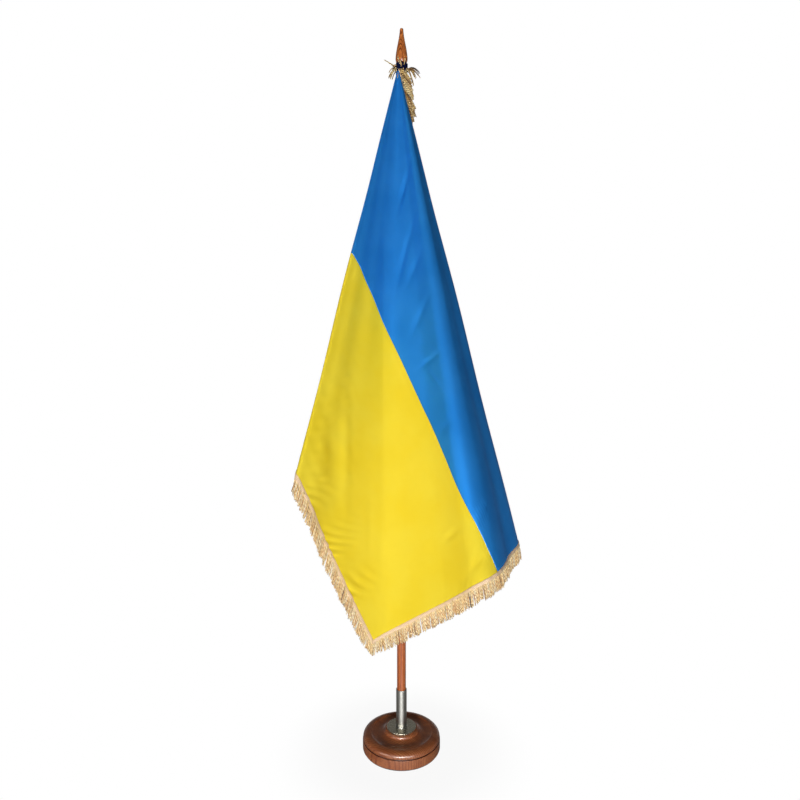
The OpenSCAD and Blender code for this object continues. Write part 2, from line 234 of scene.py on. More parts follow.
# Heights of the fan, the flank and the left edge, in metres for each metre from the corner
FAN, FINE_FAN = 0.0015, 0.0005
FLANK_ANGLE, FLANK_HALF = np.radians([76.4, 1.9])
FLANK_FULL = 0.0062
ROLL_ANGLE, ROLL_HALF = np.radians([50.4, 2.0])
ROLL_FULL = 0.005
SLOW_WAVE, FINE_WAVE = 1.2 * MM, 0.7 * MM
HEM_PUCKER, HEM_PUCKER_DEEP = 3.6 * MM, 45 * MM
FLY_PUCKER, FLY_PUCKER_DEEP = 0.6 * MM, 20 * MM
CRINKLE = 0.7 * MM


def creases(x, z):
    """Sum of the creases: each is a bell across its own line times a bell along it."""
    cx, cz, lean, half, wide, height = CREASES.T
    lean = np.radians(lean)
    dx, dz = x[..., None] / MM - cx, z[..., None] / MM - cz
    along = dx * np.sin(lean) + dz * np.cos(lean)
    aside = dx * np.cos(lean) - dz * np.sin(lean)
    return (height * np.exp(-(along / half) ** 2 - (aside / wide) ** 2)).sum(axis=-1) * MM


def relief(fly, down, x, z):
    """Small folds on top of the hang, in metres.

    Sines that fan out of the corner and grow with the distance from it, slow sines over the whole cloth, a bell
    each for the rounded left edge and the full right flank, one upright fold and the single creases on the front,
    crinkles at the left edge, and puckers where the fringe draws up the hem and the fly.
    """
    angle, reach = np.arctan2(fly, down), np.hypot(fly, down)
    fan = FAN * np.sin(angle * 40 + 0.6) + FINE_FAN * np.sin(angle * 83 + 2.1 + 1.5 * reach)
    slow = SLOW_WAVE * np.sin(9 * fly + 5 * down + 0.4) + FINE_WAVE * np.sin(23 * down - 11 * fly + 1.7)
    flank = FLANK_FULL * reach * np.exp(-((angle - FLANK_ANGLE) / FLANK_HALF) ** 2)
    roll = ROLL_FULL * reach * np.exp(-((angle - ROLL_ANGLE) / ROLL_HALF) ** 2)
    t = (x - MIDDLE_FOLD_X) / MIDDLE_FOLD_HALF
    vee = MIDDLE_FOLD_RISE * (np.sqrt(t * t + 0.02) - 0.14) * np.exp(-t * t / 3)
    vee = vee * smooth(z, 0.72, 0.9) * (1 - smooth(z, 1.75, 2.0))
    inside = np.maximum(FLAG_HOIST - down, 0)
    gather = smooth(fly, 1.0, 1.2) * (1 - smooth(fly, 1.4, 1.5))
    pucker = HEM_PUCKER * np.sin((fly - 1.2 * inside) * 150 + 3 * np.sin(fly * 30))
    pucker = pucker * np.exp(-inside / HEM_PUCKER_DEEP) * (0.45 + 0.55 * np.sin(fly * 41 + 1.1))
    side_seam = np.maximum(FLAG_FLY - fly, 0)
    fly_pucker = FLY_PUCKER * np.sin((down + side_seam) * 230) * np.exp(-side_seam / FLY_PUCKER_DEEP)
    front = smooth(angle, *FRONT_FROM) * (1 - smooth(angle, *FRONT_TO))
    crinkle = CRINKLE * np.sin(140 * z + 60 * x + np.sin(50 * x)) * np.sin(95 * x - 55 * z + 1)
    crinkle = crinkle * smooth(-x, 0.12, 0.17) * smooth(z, 0.95, 1.1) * (1 - smooth(z, 1.35, 1.5))
    own = front * (vee + creases(x, z) + gather * pucker + crinkle)
    return own + fly_pucker + flank + roll + reach * fan * smooth(reach, 0.05, 0.5) + slow * smooth(reach, 0.1, 0.6)


def hung(fly, down):
    """Points of the hung cloth from the distance along the fly and the distance below the top edge."""
    angle, reach = np.arctan2(fly, down), np.hypot(fly, down)
    plain_hang = CORNER + reach[..., None] * way(angle)
    return plain_hang + relief(fly, down, plain_hang[..., 0], plain_hang[..., 2])[..., None] * face(angle)


CLOTH_T = 0.6 * MM
GATHER = 14 * MM


def cloth_piece(name, angles, near, far, rows, seam):
    """A stripe of the flag: lines from the corner at the given angles, each filled between its near and far length."""
    share = np.linspace(0, 1, rows)[:, None]
    reach = near + (far - near) * share
    fly, down = reach * np.sin(angles), reach * np.cos(angles)
    from_seam = np.abs(reach - seam) * np.cos(angles)
    obj = grid_piece(
        name, hung(fly, down), np.stack([fly, down], axis=-1), flip=True, values={"from_seam": from_seam})
    thick = obj.modifiers.new("thickness", "SOLIDIFY")
    thick.thickness = CLOTH_T
    thick.offset = 0
    return obj


def edge_length(angles, depth):
    """Distance from the corner to an edge this deep below the top, cut off at the fly."""
    return np.minimum(depth / np.maximum(np.cos(angles), 1e-6), FLAG_FLY / np.maximum(np.sin(angles), 1e-6))


def seam_length(angles):
    """Distance from the corner to the stripes' seam, which is drawn up in a half wave over the front fold."""
    bow = SEAM_BOW * np.sin(np.pi * np.clip((angles - BOW_FROM) / (BOW_TO - BOW_FROM), 0, 1))
    return edge_length(angles, STRIPE - bow * (angles < STRIPE_ANGLE))


def spread(counts, *stops):
    """Angles spread evenly between each pair of stops, with the last stop at the end."""
    runs = [np.linspace(a, b, n, endpoint=False) for a, b, n in zip(stops, stops[1:], counts)]
    return np.concatenate(runs + [np.array(stops[-1:])])


FOLD_START = np.radians(44)
yellow_angles = spread((60, 130, 60), 0, FOLD_START, HEM_ANGLE, STRIPE_ANGLE)
yellow_seam = seam_length(yellow_angles)
yellow_stripe = cloth_piece(
    "yellow_stripe", yellow_angles, yellow_seam, edge_length(yellow_angles, FLAG_HOIST), rows=190, seam=yellow_seam)
blue_angles = np.concatenate([yellow_angles[:-1], spread((44,), STRIPE_ANGLE, RIGHT_ANGLE)])
blue_seam = seam_length(blue_angles)
blue_stripe = cloth_piece(
    "blue_stripe", blue_angles, np.full(len(blue_angles), GATHER), blue_seam, rows=165, seam=blue_seam)


# ---- the fringe ---------------------------------------------------------------------------

MITRE = 45 * MM


def hem_line(share):
    """Cloth edge and heading edge along the hem, from the hoist at 0 to the lower corner at 1, where it is mitred."""
    fly = share * FLAG_FLY
    inner = hung(fly, np.full_like(fly, FLAG_HOIST))
    outer = hung(fly + BRAID_W * smooth(fly, FLAG_FLY - MITRE, FLAG_FLY), np.full_like(fly, FLAG_HOIST + BRAID_W))
    return inner, outer, face(np.arctan2(fly, FLAG_HOIST))


def fly_line(share):
    """Cloth edge and heading edge along the fly, from the mitred lower corner at 0 to the top at 1."""
    down = (1 - share) * FLAG_HOIST
    inner = hung(np.full_like(down, FLAG_FLY), down)
    outer = hung(np.full_like(down, FLAG_FLY + BRAID_W), down + BRAID_W * smooth(down, FLAG_HOIST - MITRE, FLAG_HOIST))
    return inner, outer, face(np.arctan2(FLAG_FLY, down))


TOP_FROM = 6 * MM
TURN_FROM, TURN_TO = 60 * MM, 210 * MM


def top_line(share):
    """Cloth edge and heading edge along the top: beside the pole near the corner, turning to the back further down."""
    fly = TOP_FROM + share * (FLAG_FLY + BRAID_W - TOP_FROM)
    inner = hung(fly, np.zeros_like(fly))
    turn = smooth(fly, TURN_FROM, TURN_TO)[:, None]
    side = unit((1 - turn) * np.array([1.0, 0, 0]) + turn * across(np.array(RIGHT_ANGLE)))
    along = np.broadcast_to(way(np.array(RIGHT_ANGLE)), side.shape)
    return inner, inner + BRAID_W * side, unit(np.cross(along, side))


def heading(name, line, length, tuck=1.5 * MM, height=1.9 * MM):
    """The fringe's woven heading: a flat oval carried along the edge, its long axis from the cloth to the cords,
    shrunk to a point at both ends."""
    steps = int(length / (4 * MM))
    run = np.concatenate([[0], np.linspace(0, 1, steps), [1]])
    shut = np.concatenate([[0], np.ones(steps), [0]])[:, None]
    inner, outer, normal = line(run)
    side = unit(outer - inner)
    turn = np.linspace(0, 2 * np.pi, 20, endpoint=False)
    oval = np.sign(np.cos(turn)) * np.abs(np.cos(turn)) ** 0.6
    middle = (inner + outer) / 2 - side * tuck / 2
    half = np.linalg.norm(outer - inner, axis=1)[:, None] / 2 + tuck / 2
    points = (
        middle[:, None]
        + side[:, None] * (shut * half * oval)[..., None]
        + normal[:, None] * (shut * height * np.sin(turn))[..., None]
    )
    uv = np.stack(np.broadcast_arrays((run * length)[:, None], np.linspace(0, 1, len(turn) + 1)[None]), axis=-1)
    return grid_piece(name, points, uv, wrap=True, closed=True)


CORD_SIDES = 5
CORD_RINGS = 7
ROW_APART = 1.4 * MM
CLUMP_PULL = 0.35


def cords(name, paths, sides_out, radius, shade):
    """Twisted fringe cords: a round of few sides carried along each path, thinner at the root and the cut end,
    and shrunk to a point at both."""
    count = len(paths)
    tangent = unit(np.gradient(paths, axis=1))
    first = unit(np.cross(tangent, sides_out[:, None]))
    second = np.cross(tangent, first)
    turn = np.linspace(0, 2 * np.pi, CORD_SIDES, endpoint=False)
    t = np.linspace(0, 1, CORD_RINGS)
    swell = radius[:, None] * (1 - 0.4 * t ** 8) * (0.6 + 0.4 * smooth(t, 0, 0.25))
    ring = first[:, :, None] * np.cos(turn)[:, None] + second[:, :, None] * np.sin(turn)[:, None]
    skin = paths[:, :, None] + swell[..., None, None] * ring
    ends = np.repeat(paths[:, :, None], CORD_SIDES, axis=2)
    points = np.concatenate([ends[:, :1], skin, ends[:, -1:]], axis=1)
    rows = CORD_RINGS + 2
    steps = np.linalg.norm(np.diff(paths, axis=1), axis=2)
    run = np.concatenate([np.zeros((count, 2)), np.cumsum(steps, axis=1)], axis=1)
    run = np.concatenate([run, run[:, -1:]], axis=1)
    uv = np.stack(np.broadcast_arrays(np.linspace(0, 1, CORD_SIDES + 1)[None, None], run[..., None]), axis=-1)
    each = np.arange(count)[:, None, None]
    faces = each * rows * CORD_SIDES + grid_faces(rows, CORD_SIDES, wrap=True)
    corners = each * rows * (CORD_SIDES + 1) + grid_faces(rows, CORD_SIDES + 1)
    shade = np.repeat(shade, rows * CORD_SIDES)
    return put_mesh(
        name, points.reshape(-1, 3), faces.reshape(-1, 4), uv.reshape(-1, 2)[corners.reshape(-1, 4)],
        {"shade": shade}, closed=True)


def fringe(name, line, places, reach, clump, hang, short=None, rows=2, thick=1.75 * MM, stack=0.0, spill=2.5 * MM,
           grow=1.0, gap_shade_share=0.3):
    """Rows of cords under a heading. Each hangs between the cloth's own slope and the plumb line, its tip is drawn
    towards the middle of its clump, and it bows sideways by a small amount times 4t(1 - t). The cords between two
    clumps get a lower shade value, which is painted shade for the gaps between clumps."""
    count = len(places)
    row = np.arange(count) % rows - (rows - 1) / 2
    inner, outer, normal = line(places)
    along = unit(line(np.clip(places + 0.002, 0, 1))[1] - line(np.clip(places - 0.002, 0, 1))[1])
    side = unit(outer - inner)
    plumb = unit(hang * side + np.array([0, 0, -1.0]))
    home = places * reach / clump
    tuft = np.floor(home)
    pull = (tuft + 0.5 + 0.35 * np.sin(tuft * 2.4) - home) * clump * CLUMP_PULL
    uneven = 0.97 + 0.05 * np.sin(tuft * 5.1) + 0.05 * RNG.standard_normal(count)
    lengths = grow * CORD_LEN * uneven.clip(0.82, 1.07)
    if short is not None:
        lengths = lengths * short(places)
    lean = pull + RNG.normal(0, spill, count)
    heap = np.broadcast_to(stack, (count,))[:, None]
    back = RNG.uniform(5 * MM, 8 * MM, (count, 1))
    forward = RNG.normal(0, 1.5 * MM, count) + row * 2.0 * MM
    tip = plumb * (lengths[:, None] + back - 3.2 * MM) + along * lean[:, None] + normal * forward[:, None]
    aside = heap * RNG.random((count, 2))
    root = outer + side * (1.4 * aside[:, :1] - back) + normal * ((row * ROW_APART)[:, None] + aside[:, 1:])
    bow = along * RNG.normal(0, 1.1 * MM, (count, 1)) + normal * RNG.normal(0.5 * MM, 0.9 * MM, (count, 1))
    t = np.linspace(0, 1, CORD_RINGS)[None, :, None]
    paths = root[:, None] + tip[:, None] * t + bow[:, None] * 4 * t * (1 - t)
    radius = RNG.normal(thick, 0.12 * MM, count).clip(0.6 * thick, 1.3 * thick)
    # Painted shade: cords near the edges of a clump get a darker shade value, standing in for the shade in the gaps
    # between clumps
    middle = 1 - np.abs(2 * (home - tuft) - 1)
    return cords(name, paths, normal, radius, ((1 - gap_shade_share) * RNG.random(count) + gap_shade_share * middle).clip(0, 1))


def even(count):
    """Places from 0 to 1, one in each equal step, at random inside its step."""
    return (np.arange(count) + RNG.random(count)) / count


def lower_corner(end):
    """Cords get shorter towards the lower corner, where the two headings meet at a point: 1 less an exponential of the
    distance from it."""
    shorter, fade = 0.18, 28
    return lambda place: 1 - shorter * np.exp(-np.abs(place - end) * fade)


hem_heading = heading("hem_heading", hem_line, FLAG_FLY)
fly_heading = heading("fly_heading", fly_line, FLAG_HOIST)
top_heading = heading("top_heading", top_line, FLAG_FLY)
PITCH = 1.5 * MM
CLUMP = 10 * MM
hem_cords = fringe(
    "hem_cords", hem_line, even(int(FLAG_FLY / PITCH)), FLAG_FLY, CLUMP, HEM_HANG_OUT, lower_corner(1), grow=1.05)
fly_cords = fringe(
    "fly_cords", fly_line, even(int(FLAG_HOIST / PITCH)), FLAG_HOIST, CLUMP, HANG_OUT, lower_corner(0), grow=1.1)
# Near the pole the top fringe is bunched, so the places there are many times closer
BUNCH = 150 * MM
TOP_COUNT, BUNCH_COUNT = 700, 110
top_places = np.concatenate([even(TOP_COUNT), even(BUNCH_COUNT) ** 1.2 * BUNCH / FLAG_FLY])
top_hang = HANG_OUT + (TOP_HANG_OUT - HANG_OUT) * (1 - smooth(top_places * FLAG_FLY, 0, BUNCH))
top_stack = 7 * MM * (1 - smooth(top_places * FLAG_FLY, 0.6 * BUNCH, 1.3 * BUNCH))
top_cords = fringe(
    "top_cords", top_line, top_places, FLAG_FLY, CLUMP, top_hang[:, None], thick=2.0 * MM, stack=top_stack,
    spill=5 * MM, gap_shade_share=0.2)

# Loose ends round the sleeve under the finial: the place of each tip from the pole's axis and the flag's
# corner, and how far the cord rises on its way there, in millimetres
COLLAR_TIPS = np.array([
    [-54, -14, 24, 1], [-41, -15, -15, 9], [-36, -20, -38, 14], [-43, -8, -28, 12], [-35, -11, -23, 12],
    [-31, -23, -13, 8], [-38, -17, -31, 13], [-28, -16, 2, 6], [58, -9, -11, 9], [62, -5, -29, 12],
    [54, -14, -24, 12], [46, -11, -34, 12], [40, -16, -55, 14], [36, -19, -47, 12], [51, 0, -4, 8],
    [44, 6, -20, 10], [57, -12, -19, 13], [33, -21, -38, 11], [48, -7, -28, 14], [30, -22, -26, 9],
    [-12, -25, 33, 0], [-9, -25, 20, 2], [-2, -26, 21, 2], [11, -25, 27, 0], [-14, -27, -40, 4],
    [4, -28, -30, 4], [12, -27, -38, 5], [-4, -27, -22, 4], [20, -25, -34, 5], [7, -26, -14, 4],
    [10, 40, -20, 9], [-14, 38, -26, 9], [30, 30, -30, 10], [-32, 26, -22, 9], [0, 44, -34, 12], [22, 36, -8, 6],
])


def collar(name, copies=2):
    """Cords from the sleeve to the tips: each path is the straight line plus a rise times 4t(1 - t), and each is
    doubled a little to one side because the yarn opens."""
    tips = np.repeat(COLLAR_TIPS, copies, axis=0).astype(float)
    tips[:, :3] += RNG.normal(0, 1.6, (len(tips), 3)) * (np.arange(len(tips)) % copies > 0)[:, None]
    bearing = np.arctan2(tips[:, 1], tips[:, 0]) + RNG.normal(0, 0.12, len(tips))
    out = np.stack([np.cos(bearing), np.sin(bearing), 0 * bearing], axis=-1)
    height = CORNER[2] + np.clip(tips[:, 2] * 0.2, -8, 6) * MM + RNG.normal(0, 2.0 * MM, len(tips))
    root = out * (POLE_R + 1.4 * MM)
    root[:, 2] = height
    tip = tips[:, :3] * MM + np.array([0, 0, CORNER[2]])
    t = np.linspace(0, 1, CORD_RINGS)[None, :, None]
    rise = np.zeros_like(root)
    rise[:, 2] = tips[:, 3] * MM
    paths = root[:, None] + (tip - root)[:, None] * t + rise[:, None] * 4 * t * (1 - t)
    sides = np.stack([-np.sin(bearing), np.cos(bearing), 0 * bearing], axis=-1)
    return cords(name, paths, sides, np.full(len(tips), 1.6 * MM), RNG.random(len(tips)))


collar_cords = collar("collar_cords")


# ---- the sleeve ---------------------------------------------------------------------------

def sleeve(name, low, high, gathered):
    """The hoist sleeve: a tube round the pole, drawn out in a tapering lip to the seam, with small pleats near a
    gathered end."""
    rows, cols = 90, 72
    z = np.linspace(low, high, rows)[:, None]
    turn = np.linspace(0, 2 * np.pi, cols, endpoint=False)[None]
    off = np.angle(np.exp(1j * (turn - SEAM_ANGLE)))
    lip = (SEAM_R - POLE_R - 0.9 * MM) * np.exp(-(off / 0.16) ** 2)
    near_top = smooth(z, high - 60 * MM, high - 15 * MM) if gathered else 0 * z
    pleat = near_top * (1.8 * MM + 1.3 * MM * np.sin(turn * 9 + 40 * z) + 0.7 * MM * np.sin(turn * 14 + 1.2))
    r = POLE_R + 0.7 * MM + lip + pleat + 0.25 * MM * np.sin(turn * 5 + 21 * z)
    points = np.stack([r * np.cos(turn), r * np.sin(turn), z + 0 * turn], axis=-1)
    uv = np.stack(np.broadcast_arrays(np.linspace(0, 2 * np.pi * POLE_R, cols + 1)[None], CORNER[2] - z), axis=-1)
    obj = grid_piece(name, points, uv, wrap=True)
    thick = obj.modifiers.new("thickness", "SOLIDIFY")
    thick.thickness = 0.3 * MM
    thick.offset = 1
    return obj


SEAM_Z = CORNER[2] - STRIPE
blue_sleeve = sleeve("blue_sleeve", SEAM_Z, FINIAL_LOW[2] - 0.6 * MM, gathered=True)
yellow_sleeve = sleeve("yellow_sleeve", CORNER[2] - FLAG_HOIST, SEAM_Z, gathered=False)


# ---- turned and rigid pieces --------------------------------------------------------------

def base_profile():
    """The turned base's outline: side wall, groove, quarter-round, ridge, shallow dish and boss, as in the solid."""
    low, high = BASE_LOW[2], BASE_HIGH[2]
    tall = high - low
    wall, ovolo, ridge, foot = (low + tall * k for k in (0.5, 0.555, 0.847, 0.875))
    ridge_r, boss_r, foot_r = BASE_R * 0.786, FLANGE_R + 3.5 * MM, FLANGE_R + 9 * MM
    lip, groove_w, groove_in, dip = 1.2 * MM, 4 * MM, 3.6 * MM, 5.5 * MM
    recess_r, recess_z, hole_r = 96 * MM, low + 19 * MM, 5.5 * MM
    t = np.linspace(0, np.pi / 2, 24)
    u = np.linspace(0, 1, 26)
    side = rounded(np.array([
        [recess_r, low], [BASE_R - 4 * MM, low], [BASE_R - MM, low + 1.2 * MM], [BASE_R, low + 4 * MM],
        [BASE_R, wall - groove_w / 2], [BASE_R - groove_in, wall - groove_w / 8],
        [BASE_R - groove_in, wall + groove_w / 8], [BASE_R - 2 * lip, wall + groove_w / 2], [BASE_R - lip, ovolo],
    ]), 0.7 * MM)
    full = 0.85
    quarter = np.column_stack([
        ridge_r + (BASE_R - lip - ridge_r) * np.cos(t) ** full, ovolo + (ridge - ovolo) * np.sin(t) ** full])
    r0, z0 = ridge_r - 1.5 * MM, ridge - 1.5 * MM
    dish = np.column_stack([r0 + (foot_r - r0) * u, z0 + (foot - z0) * u - dip * np.sin(np.pi * u)])
    boss = np.column_stack([boss_r + (foot_r - boss_r) * np.cos(t), foot + (high - foot) * np.sin(t)])
    under = [[hole_r, high], [hole_r, recess_z], [recess_r, recess_z], [recess_r, low]]
    return np.vstack([side[:-1], quarter, dish, boss[1:], under])


def finial_profile():
    """The spear's outline: a rounded underside, a taper that mixes a cosine with a straight line, and a blunt tip."""
    low, tall = FINIAL_LOW[2], FINIAL_HIGH[2] - FINIAL_LOW[2]
    tip_r, tip_h, belly = 5.7 * MM, 4 * MM, tall * 0.135
    t = np.linspace(-np.pi / 2, 0, 12)
    v = np.linspace(0, 1, 60)
    under = np.column_stack([FINIAL_R * (0.72 + 0.28 * np.cos(t)), low + belly * (1 + np.sin(t))])
    share = 0.3 * (1 + np.cos(np.pi * v)) + 0.4 * (1 - v)
    taper = np.column_stack([tip_r + (FINIAL_R - tip_r) * share, low + belly + (tall - tip_h - belly) * v])
    s = np.linspace(0, np.pi / 2, 10)
    tip = np.column_stack([tip_r * np.cos(s), FINIAL_HIGH[2] - tip_h + tip_h * np.sin(s)])
    hole_r, hole_top = 6.6 * MM, low + 29 * MM
    hole = [[0, hole_top], [hole_r, hole_top], [hole_r, low]]
    return np.vstack([hole, under, taper[1:], tip[1:-1], [[0, FINIAL_HIGH[2]]]])


def tube_profile():
    """The socket tube's wall, closed on itself: outside with its weld ring, rounded rim, bore."""
    low, high = TUBE_LOW[2], TUBE_HIGH[2]
    weld = FLANGE_HIGH[2]
    return rounded(np.array([
        [TUBE_R, low], [TUBE_R, weld - MM], [TUBE_R + 2.5 * MM, weld], [TUBE_R + 1.8 * MM, weld + 1.2 * MM],
        [TUBE_R, weld + 2.5 * MM], [TUBE_R, high], [TUBE_IR, high], [TUBE_IR, low], [TUBE_R, low],
    ]), 0.5 * MM)


def flange_profile():
    """The flange disc: underside, rounded rim and top."""
    low, high = FLANGE_LOW[2], FLANGE_HIGH[2]
    corners = [[TUBE_R, low], [FLANGE_R, low], [FLANGE_R, high], [TUBE_R, high], [TUBE_R, low]]
    return rounded(np.array(corners), 0.8 * MM)


def pole_profile():
    """The pole: a plain round rod with eased ends."""
    low, high = POLE_LOW[2], POLE_HIGH[2]
    z = np.linspace(low + 3 * MM, high - 3 * MM, 40)
    rod = np.column_stack([np.full(len(z), POLE_R), z])
    return np.vstack([[[0, low], [POLE_R - 2 * MM, low]], rod, [[POLE_R - MM, high], [0, high]]])


turned_base = lathe("turned_base", base_profile(), sides=160)
spear_finial = lathe("spear_finial", finial_profile(), sides=96)
steel_tube = lathe("steel_tube", tube_profile())
steel_flange = lathe("steel_flange", flange_profile(), sides=160)
round_pole = lathe("round_pole", pole_profile(), sides=96)


# ---- materials ----------------------------------------------------------------------------

def tone(red, green, blue):
    """A colour as it looks on screen, 0 to 255, as the linear value a shader takes."""
    c = np.array([red, green, blue]) / 255
    linear = np.where(c <= 0.04045, c / 12.92, ((c + 0.055) / 1.055) ** 2.4)
    return (*linear, 1.0)


def add(tree, kind, inputs=None, **settings):
    """A node with its settings, and each input linked or set by name or number."""
    node = tree.nodes.new(kind)
    for key, value in settings.items():
        setattr(node, key, value)
    for key, value in (inputs or {}).items():
        if isinstance(value, bpy.types.NodeSocket):
            tree.links.new(value, node.inputs[key])
        else:
            node.inputs[key].default_value = value
    return node


def finish(name, **sockets):
    """A new material and its shader, with the sockets that are the same all over set on the shader."""
    mat = bpy.data.materials.new(name)
    mat.use_nodes = True
    shader = mat.node_tree.nodes["Principled BSDF"]
    for key, value in sockets.items():
        shader.inputs[key.replace("_", " ")].default_value = value
    return mat, mat.node_tree, shader


def ramp(tree, factor, *stops):
    """A colour ramp from pairs of place and colour."""
    node = add(tree, "ShaderNodeValToRGB", {"Fac": factor})
    while len(node.color_ramp.elements) < len(stops):
        node.color_ramp.elements.new(0.5)
    for element, (place, colour) in zip(node.color_ramp.elements, stops):
        element.position = place
        element.color = colour
    return node.outputs["Color"]


def span(tree, value, low, high, ends=(0.0, 1.0), kind="LINEAR"):
    """A value between two ends spread from low to high, in a straight line or as a smooth step."""
    return add(tree, "ShaderNodeMapRange", {
        "Value": value, "From Min": ends[0], "From Max": ends[1], "To Min": low, "To Max": high},
        interpolation_type=kind).outputs["Result"]


def reckon(tree, operation, *values):
    """One step of arithmetic on outputs or plain numbers."""
    return add(tree, "ShaderNodeMath", dict(enumerate(values)), operation=operation).outputs[0]


def mix(tree, factor, first, second, kind="MIX"):
    """Two colours mixed by a factor, plainly or with one multiplied by the other."""
    return add(tree, "ShaderNodeMix", {
        "Factor": factor, "A": first, "B": second}, data_type="RGBA", blend_type=kind).outputs[2]


def bump(tree, shader, height, depth, strength=1.0):
    """Height in nodes as a bump on the shader, depth in metres."""
    node = add(tree, "ShaderNodeBump", {"Height": height, "Distance": depth, "Strength": strength})
    tree.links.new(node.outputs["Normal"], shader.inputs["Normal"])


def wood(name, dark, mid, light, ring, lay, stretch, bend, gloss, rough, line=0.22, groove=None):
    """Stained, varnished wood: growth rings as bands bent by a slow noise, and fine pores drawn out along the grain;
    a turned groove, given by its height and half width, gets a dark band of painted shade."""
    mat, tree, shader = finish(name, Coat_Weight=gloss, Coat_Roughness=0.1, Specular_IOR_Level=0.3)
    place = add(tree, "ShaderNodeTexCoord").outputs["Object"]
    turned = add(tree, "ShaderNodeMapping", {"Vector": place, "Rotation": lay}).outputs["Vector"]
    long = add(tree, "ShaderNodeMapping", {"Vector": turned, "Scale": stretch}).outputs["Vector"]
    rings = add(tree, "ShaderNodeTexWave", {
        "Vector": long, "Scale": 0.314 / ring, "Distortion": bend, "Detail": 2.0, "Detail Scale": 0.35,
        "Detail Roughness": 0.55}, bands_direction="Y", wave_profile="SIN")
    slow = add(tree, "ShaderNodeTexNoise", {"Vector": long, "Scale": 0.25 / ring, "Detail": 4.0, "Roughness": 0.6})
    pores = add(tree, "ShaderNodeTexNoise", {"Vector": long, "Scale": 6.0 / ring, "Detail": 3.0, "Roughness": 0.7})
    body = ramp(tree, slow.outputs["Fac"], (0.3, mid), (0.7, light))
    vein = ramp(tree, rings.outputs["Fac"], (0.0, (1, 1, 1, 1)), (line, (0, 0, 0, 1)))
    veined = mix(tree, vein, body, dark)
    fleck = ramp(tree, pores.outputs["Fac"], (0.34, (0.5, 0.44, 0.4, 1)), (0.5, (1, 1, 1, 1)))
    shown = mix(tree, 0.6, veined, fleck, "MULTIPLY")
    # Painted shade: a dark band at the groove's height stands in for the shadow line under the lip above it
    if groove is not None:
        height = add(tree, "ShaderNodeSeparateXYZ", {"Vector": place}).outputs["Z"]
        shown = mix(tree, reckon(tree, "COMPARE", height, *groove), shown, tone(74, 36, 20))
    tree.links.new(shown, shader.inputs["Base Color"])
    tree.links.new(span(tree, pores.outputs["Fac"], rough + 0.14, rough - 0.1), shader.inputs["Roughness"])
    bump(tree, shader, pores.outputs["Fac"], 0.2 * MM, 0.3)
    return mat


def satin(name, colour, shade, lustre, top=None):
    """Satin cloth: a fine weave on the cut's own coordinates, slow changes of tone, and a stitched ridge at the stripe
    seam; the lustre is the share of light that the threads mirror in their own colour, and a sleeve's closed top
    may have a dark navy band down to a little below the corner: partly a darker binding, partly painted shade under
    the finial and the cords."""
    mat, tree, shader = finish(name, Specular_IOR_Level=0.0, Metallic=lustre)
    cut = add(tree, "ShaderNodeTexCoord").outputs["UV"]
    slow = add(tree, "ShaderNodeTexNoise", {"Vector": cut, "Scale": 7.0, "Detail": 3.0, "Roughness": 0.5})
    thread = {"Vector": cut, "Distortion": 0.4, "Detail": 1.0}
    warp = add(tree, "ShaderNodeTexWave", {**thread, "Scale": 420.0}, bands_direction="X")
    weft = add(tree, "ShaderNodeTexWave", {**thread, "Scale": 300.0}, bands_direction="Y")
    weave = reckon(tree, "MULTIPLY", warp.outputs["Fac"], weft.outputs["Fac"])
    body = ramp(tree, slow.outputs["Fac"], (0.35, shade), (0.62, colour))
    # Partly painted shade: the sleeve's top turns dark navy, a darker binding together with the shade under the finial
    # and cords
    if top is not None:
        down = add(tree, "ShaderNodeSeparateXYZ", {"Vector": cut}).outputs["Y"]
        body = mix(tree, span(tree, down, 1.0, 0.0, (9 * MM, 13 * MM)), body, top)
    tree.links.new(body, shader.inputs["Base Color"])
    tree.links.new(span(tree, slow.outputs["Fac"], 0.56, 0.42), shader.inputs["Roughness"])
    off = add(tree, "ShaderNodeAttribute", attribute_name="from_seam").outputs["Fac"]
    fold = span(tree, off, 5.0, 0.0, (0.0, 4 * MM), "SMOOTHSTEP")
    bump(tree, shader, reckon(tree, "ADD", weave, fold), 0.05 * MM, 0.25)
    return mat


def yarn(name, gap_shadow_tone, dark, mid, light, groove, few, twist, near_root):
    """Twisted fringe cord: tone by the cord's own shade value (its random tone and, on the fringe, painted shade
    between clumps), with a few very dark cords as painted shadow in the gaps, and strands that wind round it with
    painted shade in their grooves; near the root, where the cords lie close, all of it gives way to the plain middle
    tone."""
    mat, tree, shader = finish(name, Roughness=0.5, Specular_IOR_Level=0.3, Sheen_Weight=0.22, Sheen_Roughness=0.5)
    own = add(tree, "ShaderNodeAttribute", attribute_name="shade").outputs["Fac"]
    # Painted shadow: the lowest shade values turn a few cords very dark, standing in for dark gaps between the cords
    body = ramp(tree, own, (few * 0.5, gap_shadow_tone), (few * 2, dark), (0.45, mid), (0.9, light))
    cut = add(tree, "ShaderNodeSeparateXYZ", {"Vector": add(tree, "ShaderNodeTexCoord").outputs["UV"]})
    start = reckon(tree, "MULTIPLY", own, 97.0)
    along = reckon(tree, "MULTIPLY_ADD", cut.outputs["Y"], 2 * np.pi / twist, start)
    wave = reckon(tree, "SINE", reckon(tree, "MULTIPLY_ADD", cut.outputs["X"], 4 * np.pi, along))
    # Painted shade: the colour darkens towards the groove tone in the grooves between the strands
    strand = ramp(tree, span(tree, wave, 0.0, 1.0, (-1.0, 1.0)), (0.2, groove), (0.5, (1, 1, 1, 1)))
    colour = mix(tree, 1.0, body, strand, "MULTIPLY")
    open_end = span(tree, cut.outputs["Y"], near_root, 1.0, (8 * MM, 20 * MM))
    tree.links.new(mix(tree, open_end, mid, colour), shader.inputs["Base Color"])
    bump(tree, shader, wave, 0.3 * MM, 0.8)
    return mat


